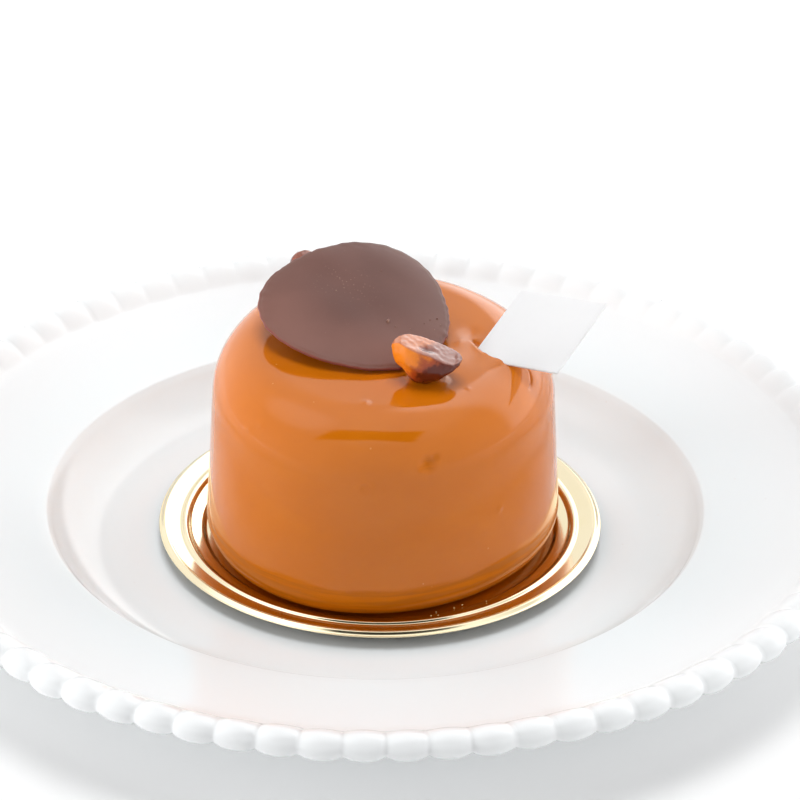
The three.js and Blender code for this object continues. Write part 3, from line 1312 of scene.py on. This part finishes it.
@dataclass
class Crumbs:
    """Broken grains scattered on a piece, as one mesh. Millimetres."""

    name: str
    slot: Slot
    places: Sequence[Place]
    sizes: Sequence[float]
    seed: int
    finish: Finish

    def make(self) -> None:
        """Builds every grain: a ball of 8 by 5 places, each pushed in or out by chance."""
        columns, rows = 8, 5
        chance = np.random.default_rng(self.seed)
        rise = np.radians(np.linspace(-60.0, 60.0, rows))
        ball = MeshMaker.turned(np.stack([np.cos(rise), np.sin(rise)], axis=1), even_turn(columns))
        ball = np.concatenate([ball.reshape(-1, 3), [[0.0, 0.0, -1.0], [0.0, 0.0, 1.0]]])
        count, corners = len(self.places), len(ball)
        shape = ball * (1.0 + chance.uniform(-0.3, 0.3, (count, corners, 1)))
        shape = shape * chance.uniform(0.6, 1.3, (count, 1, 3)) * np.array(self.sizes)[:, None, None]
        places = (shape + np.array(self.places)[:, None, :]).reshape(-1, 3)
        first = (np.arange(count) * corners)[:, None, None]
        quads, caps = (
            (faces + first).reshape(-1, faces.shape[1]) for faces in MeshMaker.skin_faces(rows, columns)
        )
        made = MeshMaker.build(self.name, places, quads, caps)
        settle(self.finish.dress(made))


Station = tuple[float, float, float, float]


@dataclass
class CandiedNut:
    """A caramelised nut kernel: a kidney with a flat top. Millimetres.

    Each station along its length gives the place, the half width, and how far it reaches
    above and below the axis.
    """

    name: str
    node: str
    centre: Place
    turn: Place
    turn_order: str
    stations: tuple[Station, ...]
    seed: int
    wrinkle: float = 0.07
    hollow: float = 0.5
    pit_centre: Pair = (-0.2, -0.8)
    pit_size: Pair = (1.7, 1.0)
    edge_power: float = 14.0
    columns: int = 160
    rows: int = 96
    finish: CandiedSkin = CandiedSkin()

    def section(self) -> list[np.ndarray]:
        """The stations at closer places along the nut, eased by a moving mean.

        Returns:
            Place, half width, top and bottom, each as a row of numbers.
        """
        marks = np.array(self.stations)
        share = -np.cos(np.linspace(0.0, math.pi, self.rows))
        place = np.interp(share, (-1.0, 1.0), (marks[0, 0], marks[-1, 0]))
        weight = np.array([1.0, 2.0, 3.0, 4.0, 3.0, 2.0, 1.0]) / 16.0
        along = [place]
        for column in (1, 2, 3):
            values = np.interp(place, marks[:, 0], marks[:, column])
            padded = np.pad(values, len(weight) // 2, mode="reflect", reflect_type="odd")
            along.append(np.convolve(padded, weight, mode="valid"))
        return along

    def make(self) -> None:
        """Builds the sections, wrinkles them, turns the nut and puts it in place.

        Round each section y = w cos a. Above the middle z rises as sqrt(1 - cos^p a) to the
        top, which makes a flat face with a firm edge; below it falls as (sin a)^0.9 to the
        bottom.
        """
        place, width, top, bottom = (row[:, None] for row in self.section())
        angle = even_turn(self.columns)
        upper = np.sin(angle) > 0
        middle = 0.3 * (top - bottom)
        up = np.sqrt(1.0 - np.abs(np.cos(angle)) ** self.edge_power) * upper
        down = np.clip(-np.sin(angle), 0.0, 1.0) ** 0.9
        level = middle + (top - middle) * up - (middle + bottom) * down
        shape = np.stack([place * np.ones_like(angle), np.abs(width) * np.cos(angle), level], axis=-1)
        shape = shape + self.wrinkles(shape, np.stack([place, 0 * place, middle], axis=-1), width)
        pit = oval_bell(shape, self.pit_centre, self.pit_size) * upper
        shape[..., 2] -= self.hollow * pit
        x, y, z = np.moveaxis(shape, -1, 0)
        half_length = float(np.ptp(place)) / 2
        # painted shade: darker low down and on the -y flank, which faces the camera on the front nut;
        # the rest is the nut's own tone along its length and in its pits
        tone_and_shade = 0.46 + 0.5 * x / half_length - 0.07 * z + 0.1 * Ripple(self.seed + 1, 5.0, 6).at(shape)
        tone_and_shade = tone_and_shade + 0.5 * pit - 0.04 * y * (np.cos(angle) < 0)
        flat_top = smooth_step(np.sin(angle), 0.42, 0.62) * smooth_step(top - middle, 0.3, 1.0)
        facet = flat_top * (1.0 - 0.85 * pit)
        placed = shape @ turn_matrix(self.turn_order, self.turn).T + np.array(self.centre)
        placed[0], placed[-1] = placed[0].mean(axis=0), placed[-1].mean(axis=0)
        made = MeshMaker.closed(self.name, placed)
        for label, values in (("tone_and_shade", tone_and_shade), ("facet", facet)):
            MeshMaker.label(made, label, values[1:-1], (0.1, 0.9))
        settle(self.finish.dress(made), self.node)

    def wrinkles(self, shape: np.ndarray, axis: np.ndarray, width: np.ndarray) -> np.ndarray:
        """Moves away from the nut's axis: creases on 1 - |ripple|, with finer bumps on them.

        Args:
            shape: Places on the skin.
            axis: The axis place of each section.
            width: The half width of each section; the creases die away where it is small.

        Returns:
            The move of each place.
        """
        coarse, fine = Ripple(self.seed, 2.6, 8).at(shape), Ripple(self.seed + 3, 1.3, 8).at(shape)
        bumps = np.clip(1.0 - np.abs(coarse) + 0.4 * fine, -1.0, 1.0)
        away = shape - axis
        away /= np.maximum(np.linalg.norm(away, axis=-1, keepdims=True), 1e-6)
        return away * (self.wrinkle * bumps * np.clip(np.abs(width) / 3.0, 0.0, 1.0))[..., None]


FRONT_STATIONS: tuple[Station, ...] = (
    (-7.0, 0.0, 1.5, -1.5),
    (-6.6, 1.0, 2.3, 0.3),
    (-5.7, 1.9, 2.95, 2.1),
    (-4.1, 3.5, 2.9, 2.6),
    (-1.9, 4.3, 2.55, 5.2),
    (0.6, 4.2, 2.2, 5.4),
    (3.5, 4.4, 1.4, 3.4),
    (5.4, 3.6, 1.1, 1.0),
    (6.6, 1.8, 1.2, -0.2),
    (7.0, 0.0, 1.2, -1.2),
)
BACK_STATIONS: tuple[Station, ...] = (
    (-5.6, 0.0, 0.0, 0.0),
    (-4.8, 2.0, 1.7, 1.8),
    (-2.0, 3.7, 3.2, 3.4),
    (1.5, 3.7, 3.1, 3.3),
    (4.4, 2.2, 2.0, 2.2),
    (5.6, 0.0, 0.0, 0.0),
)
FRONT_NUT = CandiedNut(
    name="nut_in_front",
    node="nut_front",
    centre=(9.7, -14.1, 52.75),
    turn=(0.0, 0.17, -0.05),
    turn_order="XYZ",
    stations=FRONT_STATIONS,
    seed=41,
)
BACK_NUT = CandiedNut(
    name="nut_behind",
    node="nut_back",
    centre=(-13.7, 19.0, 53.8),
    turn=(0.0, -0.55, 2.2),
    turn_order="ZYX",
    stations=BACK_STATIONS,
    seed=47,
    edge_power=3.0,
)
CRUMB_SPOTS: tuple[Pair, ...] = (
    (6.1, -5.8), (14.5, -3.6), (15.9, -2.8), (16.6, -4.5), (15.3, -6.2),
    (10.5, -7.3), (7.6, -7.2), (13.3, -5.0), (4.4, 9.8), (-6.2, -11.0),
)
CRUMB_SIZES = (0.42, 0.13, 0.16, 0.15, 0.12, 0.13, 0.11, 0.12, 0.12, 0.10)
SPECK_PLACES: tuple[Place, ...] = (
    (15.8, -31.9, 6.5), (11.3, -34.9, 6.6), (12.3, -33.4, 6.5), (12.7, -34.8, 6.6),
    (17.4, -30.9, 6.6), (-12.1, -29.4, 6.5), (22.2, -29.8, 6.8),
)
SPECK_SIZES = (0.16, 0.14, 0.12, 0.13, 0.15, 0.12, 0.12)


@dataclass
class TagCard:
    """A small square white card with one corner sunk in the cake. Millimetres."""

    side: float = 20.5
    thickness: float = 0.45
    corner: Place = (18.7, -2.45, 46.25)
    turn: Place = (19.3, -8.6, -34.8)
    bow: float = 0.10
    steps: int = 40
    finish: CoatedCard = CoatedCard()

    def make(self) -> None:
        """Builds a flat sheet with rounded edges and the slightest bow.

        The outline's rows go from the middle of the back, round the edge, to the middle of
        the front; a square ring is the round one pushed out to the larger of its two parts.
        """
        half, thin = self.side / 2, self.thickness / 2
        flat, count = half - thin * 0.6, 13
        edge = arc((flat, 0.0), thin * 0.6, -90.0, 90.0, 5)
        edge[:, 1] = edge[:, 1] / (thin * 0.6) * thin
        inner = np.linspace(0.0, flat, count + 1)[:-1]
        back = np.stack([inner, np.full(count, -thin)], axis=1)
        front = np.stack([inner[::-1], np.full(count, thin)], axis=1)
        rings = MeshMaker.turned(np.concatenate([back, edge, front]), even_turn(4 * self.steps))
        reach = np.maximum(np.abs(rings[..., 0]), np.abs(rings[..., 1]))
        radius = np.hypot(rings[..., 0], rings[..., 1])
        push = np.where(reach > TINY, radius / np.maximum(reach, TINY), 1.0)
        rings[..., :2] *= push[..., None]
        rings[..., 2] += self.bow * (rings[..., 0] + rings[..., 1]) ** 2 / self.side**2
        turn = turn_matrix("ZYX", [math.radians(angle) for angle in self.turn])
        middle = np.array(self.corner) + turn @ np.array([half, half, 0.0])
        made = MeshMaker.closed("tag_card", rings @ turn.T + middle)
        settle(self.finish.dress(made), "card")


# ---------------------------------------------------------------- studio


@dataclass
class Studio:
    """White table, soft surround, large soft lamps and the camera. Metres.

    The focal length and the frame's width are in pixels of the photograph.
    """

    table_side: float = 5.0
    front: float = 0.93
    left_wall: float = 0.18
    back_wall: float = 0.15
    overhead: float = 0.40
    left_box: float = 0.7
    side_window: float = 1.45
    dark_window: float = 0.97
    lamp_list: tuple[tuple[str, Place, float], ...] = (
        ("lamp_overhead", (0.0, 0.05, 1.1), 7.0),
        ("lamp_left_low", (-0.9, -0.1, 0.05), 9.7),
        ("lamp_left_back", (-0.6, 0.6, 0.4), 3.3),
        ("lamp_left_front", (-0.6, -0.4, 0.7), 1.4),
        ("lamp_front", (0.0, -1.0, 0.45), 2.2),
        ("lamp_right", (0.85, 0.05, 0.35), 1.3),
        ("lamp_right_low", (0.9, -0.1, 0.05), 4.8),
        ("lamp_right_back", (0.6, 0.6, 0.4), 3.5),
        ("lamp_right_front", (0.6, -0.4, 0.7), 0.6),
    )
    lamp_size: float = 0.6
    lamp_target: Place = (0.0, 0.0, 0.03)
    camera_place: Place = (0.0047556, -0.620465, 0.382084)
    camera_pitch: float = 0.50967
    camera_roll: float = -0.011187
    focal: float = 3551.66
    frame_width: float = 800.0
    sensor_width: float = 36.0

    def table(self) -> None:
        """A large flat sheet just under the plate."""
        half = self.table_side / 2 / MM
        corners = ((-half, -half, 0.0), (half, -half, 0.0), (half, half, 0.0), (-half, half, 0.0))
        made = MeshMaker.build("table", np.array(corners), np.array([[0, 1, 2, 3]]))
        TableTop().dress(made)

    def surround(self) -> None:
        """The room that the glaze mirrors, seen by the camera and in mirror images alone.

        It is soft white, brighter on the left, behind and overhead, with a bright window
        behind on the right and a dark one high in front. The lamps light everything else.
        """
        world = bpy.data.worlds.new("studio")
        bpy.context.scene.world = world
        shop = FinishShop(world)
        x, y, z = shop.split(shop.add("TexCoord", None, None, "Generated"))
        level = self.front + self.left_wall * x.step(-0.1, -0.9)
        level = level + self.back_wall * y.step(0.2, 0.9) + self.overhead * z.step(0.72, 0.92)
        box = x * -0.489 + y * 0.104 + z * 0.866
        level = level + self.left_box * box.step(0.92, 0.985)
        side = (x * 0.425 + y * 0.905).step(0.44, 0.60) * x.step(0.04, 0.13) * z.step(-0.1, 0.1)
        level = level + self.side_window * side
        slant = (x + (y + 0.2) * -1.04).step(-0.30, -0.20) * x.step(0.46, 0.40)
        dark = y.step(-0.13, -0.19) * y.step(-0.50, -0.44) * slant * z.step(0.3, 0.5)
        level = level * (1.0 - self.dark_window * dark)
        background = shop.add("Background", None, {0: (1.0, 1.0, 1.0, 1.0), 1: level})
        shop.add("OutputWorld", None, {0: background})
        world.cycles_visibility.diffuse = False

    def lamps(self) -> None:
        """Large soft lamps, turned to the cake, that light it without a mirror image."""
        for name, place, power in self.lamp_list:
            light = bpy.data.lights.new(name, "AREA")
            light.energy = power
            light.shape = "SQUARE"
            light.size = self.lamp_size
            made = bpy.data.objects.new(name, light)
            bpy.context.scene.collection.objects.link(made)
            made.location = place
            aim = Vector(self.lamp_target) - Vector(place)
            made.rotation_euler = aim.to_track_quat("-Z", "Y").to_euler()
            made.visible_glossy = False

    def camera(self) -> None:
        """The camera at the photograph's place and tilt."""
        data = bpy.data.cameras.new("camera")
        data.sensor_width = self.sensor_width
        data.lens = self.focal / self.frame_width * data.sensor_width
        data.clip_start, data.clip_end = 0.05, 20.0
        sin_p, cos_p = math.sin(self.camera_pitch), math.cos(self.camera_pitch)
        cos_r, sin_r = math.cos(self.camera_roll), math.sin(self.camera_roll)
        right, up = np.array([1.0, 0.0, 0.0]), np.array([0.0, sin_p, cos_p])
        forward = np.array([0.0, cos_p, -sin_p])
        axes = np.stack([cos_r * right - sin_r * up, sin_r * right + cos_r * up, -forward], axis=1)
        made = bpy.data.objects.new("camera", data)
        bpy.context.scene.collection.objects.link(made)
        made.matrix_world = Matrix.Translation(self.camera_place) @ Matrix(axes.tolist()).to_4x4()
        bpy.context.scene.camera = made

    def make(self) -> None:
        """Sets up the whole studio and a plain view transform."""
        self.table()
        self.surround()
        self.lamps()
        self.camera()
        bpy.context.scene.view_settings.view_transform = "Standard"
        bpy.context.scene.view_settings.look = "None"


def main() -> None:
    """Builds every piece in order."""
    logging.basicConfig(level=logging.INFO, format="%(name)s %(message)s")
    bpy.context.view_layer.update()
    Studio().make()
    BeadedPlate().make()
    GoldBoard().make()
    GlazedCake().make()
    disc = ChocolateDisc()
    disc.make()
    drop_crumbs = disc.on_top(CRUMB_SPOTS)
    brown = Grain("chocolate_grain")
    Crumbs("crumbs_on_drop", Slot.CHOCOLATE, drop_crumbs, CRUMB_SIZES, 9, brown).make()
    amber = Grain("caramel_grain", (0.75, 0.42, 0.12), (0.85, 0.62, 0.30))
    Crumbs("specks_on_board", Slot.GLAZE, SPECK_PLACES, SPECK_SIZES, 17, amber).make()
    FRONT_NUT.make()
    BACK_NUT.make()
    TagCard().make()


if __name__ == "__main__":
    main()
